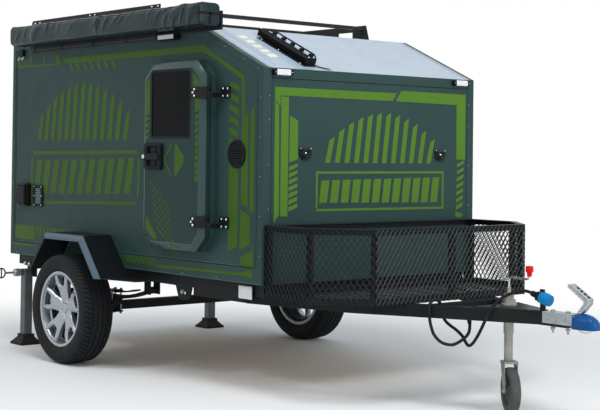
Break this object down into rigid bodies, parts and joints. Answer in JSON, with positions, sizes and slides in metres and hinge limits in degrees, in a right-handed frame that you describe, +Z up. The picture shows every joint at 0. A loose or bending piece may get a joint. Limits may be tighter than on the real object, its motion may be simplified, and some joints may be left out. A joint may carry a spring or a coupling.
{
  "type": "camper trailer",
  "caption": "Single-axle camper trailer with side doors, tail hatch, drawbar basket, jockey wheel, drop legs, roof rack and a side awning bag.",
  "frame": {"origin": "on the floor under the middle of the trailer's box, cable and plug left out", "axes": "+X forward towards the coupling, +Y to the trailer's left, +Z up"},
  "size_m": [4.043, 1.95, 2.022],
  "materials": {
    "body_paint": "satin dark green paint",
    "roof_sheet": "pale blue-grey gloss sheet",
    "black_paint": "black powder coat",
    "black_plastic": "moulded black plastic",
    "galvanised_steel": "zinc coated steel",
    "aluminium": "brushed aluminium",
    "alloy_wheel": "silver lacquered alloy",
    "tyre": "black tyre rubber",
    "rubber": "black rubber",
    "foot_rubber": "black rubber",
    "dark_window": "dark tinted acrylic",
    "clear_lens": "clear lens",
    "red_lens": "red lens",
    "blue_plastic": "blue moulded plastic",
    "awning_fabric": "coated dark grey-green fabric",
    "inner_panel": "birch plywood"
  },
  "bodies": {
    "trailer": {"chassis_frame": "black_paint", "drawbar": "black_paint", "drawbar_cable": "rubber", "cable_plug": "blue_plastic", "axle_beam": "black_paint", "roof_panel": "roof_sheet", "slope_panel": "roof_sheet", "front_wall": "body_paint", "floor_panel": "inner_panel", "galley_bulkhead": "inner_panel", "rear_frame": "body_paint", "basket_frame": "black_paint", "basket_mesh": "black_paint", "awning_bag": "awning_fabric", "awning_rail": "aluminium", "roof_rack": "black_paint", "light_bar": "black_plastic", "side_vent": "black_plastic", "power_inlet": "black_plastic", "side_grille": "black_plastic", "coupler_body": "galvanised_steel", "coupler_cap": "blue_plastic", "coupler_lever": "galvanised_steel", "jockey_outer_tube": "galvanised_steel", "leaf_spring_right": "black_paint", "side_wall_right": "body_paint", "door_hinge_upper_right": "black_paint", "door_hinge_lower_right": "black_paint", "fender_right": "black_paint", "marker_lamp_right": "clear_lens", "lashing_eye_right": "black_paint", "side_lamp_right": "clear_lens", "tail_lamp_right": "red_lens", "leaf_spring_left": "black_paint", "side_wall_left": "body_paint", "door_hinge_upper_left": "black_paint", "door_hinge_lower_left": "black_paint", "fender_left": "black_paint", "marker_lamp_left": "clear_lens", "lashing_eye_left": "black_paint", "side_lamp_left": "clear_lens", "tail_lamp_left": "red_lens"},
    "wheel_right": {"tyre_right": "tyre", "rim_right": "alloy_wheel"},
    "wheel_left": {"tyre_left": "tyre", "rim_left": "alloy_wheel"},
    "door_leaf_right": {"door_right": "body_paint", "door_window_right": "dark_window", "door_latch_right": "black_plastic"},
    "door_leaf_left": {"door_left": "body_paint", "door_window_left": "dark_window", "door_latch_left": "black_plastic"},
    "tail_hatch": {"rear_hatch": "body_paint"},
    "jockey_stem": {"jockey_inner_tube": "galvanised_steel"},
    "jockey_caster": {"jockey_fork": "galvanised_steel"},
    "jockey_roller": {"jockey_wheel": "rubber"},
    "leg_right": {"rear_leg_right": "galvanised_steel", "rear_foot_right": "foot_rubber"},
    "leg_left": {"rear_leg_left": "galvanised_steel", "rear_foot_left": "foot_rubber"}
  },
  "joints": [
    {"name": "wheel_spin_right", "type": "hinge", "parent": "trailer", "child": "wheel_right", "pos_m": [-1.0075, -0.88, 0.31], "axis": [0, 1, 0], "continuous": true},
    {"name": "wheel_spin_left", "type": "hinge", "parent": "trailer", "child": "wheel_left", "pos_m": [-1.0075, 0.88, 0.31], "axis": [0, 1, 0], "continuous": true},
    {"name": "door_hinge_right", "type": "hinge", "parent": "trailer", "child": "door_leaf_right", "pos_m": [0.2075, -0.828, 0.695], "axis": [0, 0, 1], "range_deg": [0, 100]},
    {"name": "door_hinge_left", "type": "hinge", "parent": "trailer", "child": "door_leaf_left", "pos_m": [0.2075, 0.828, 0.695], "axis": [0, 0, -1], "range_deg": [0, 100]},
    {"name": "hatch_hinge", "type": "hinge", "parent": "trailer", "child": "tail_hatch", "pos_m": [-1.9755, 0, 1.826], "axis": [0, 1, 0], "range_deg": [0, 90]},
    {"name": "jockey_lift", "type": "slide", "parent": "trailer", "child": "jockey_stem", "axis": [0, 0, 1], "range_m": [0, 0.12]},
    {"name": "jockey_swivel", "type": "hinge", "parent": "jockey_stem", "child": "jockey_caster", "pos_m": [1.4985, 0, 0.24], "axis": [0, 0, 1], "continuous": true},
    {"name": "jockey_roll", "type": "hinge", "parent": "jockey_caster", "child": "jockey_roller", "pos_m": [1.53624, -0.02451, 0.108], "axis": [0.5446, 0.8387, 0], "continuous": true},
    {"name": "leg_swing_right", "type": "hinge", "parent": "trailer", "child": "leg_right", "pos_m": [-1.8415, -0.712, 0.448], "axis": [0, -1, 0], "range_deg": [0, 80]},
    {"name": "leg_swing_left", "type": "hinge", "parent": "trailer", "child": "leg_left", "pos_m": [-1.8415, 0.712, 0.448], "axis": [0, -1, 0], "range_deg": [0, 80]}
  ]
}
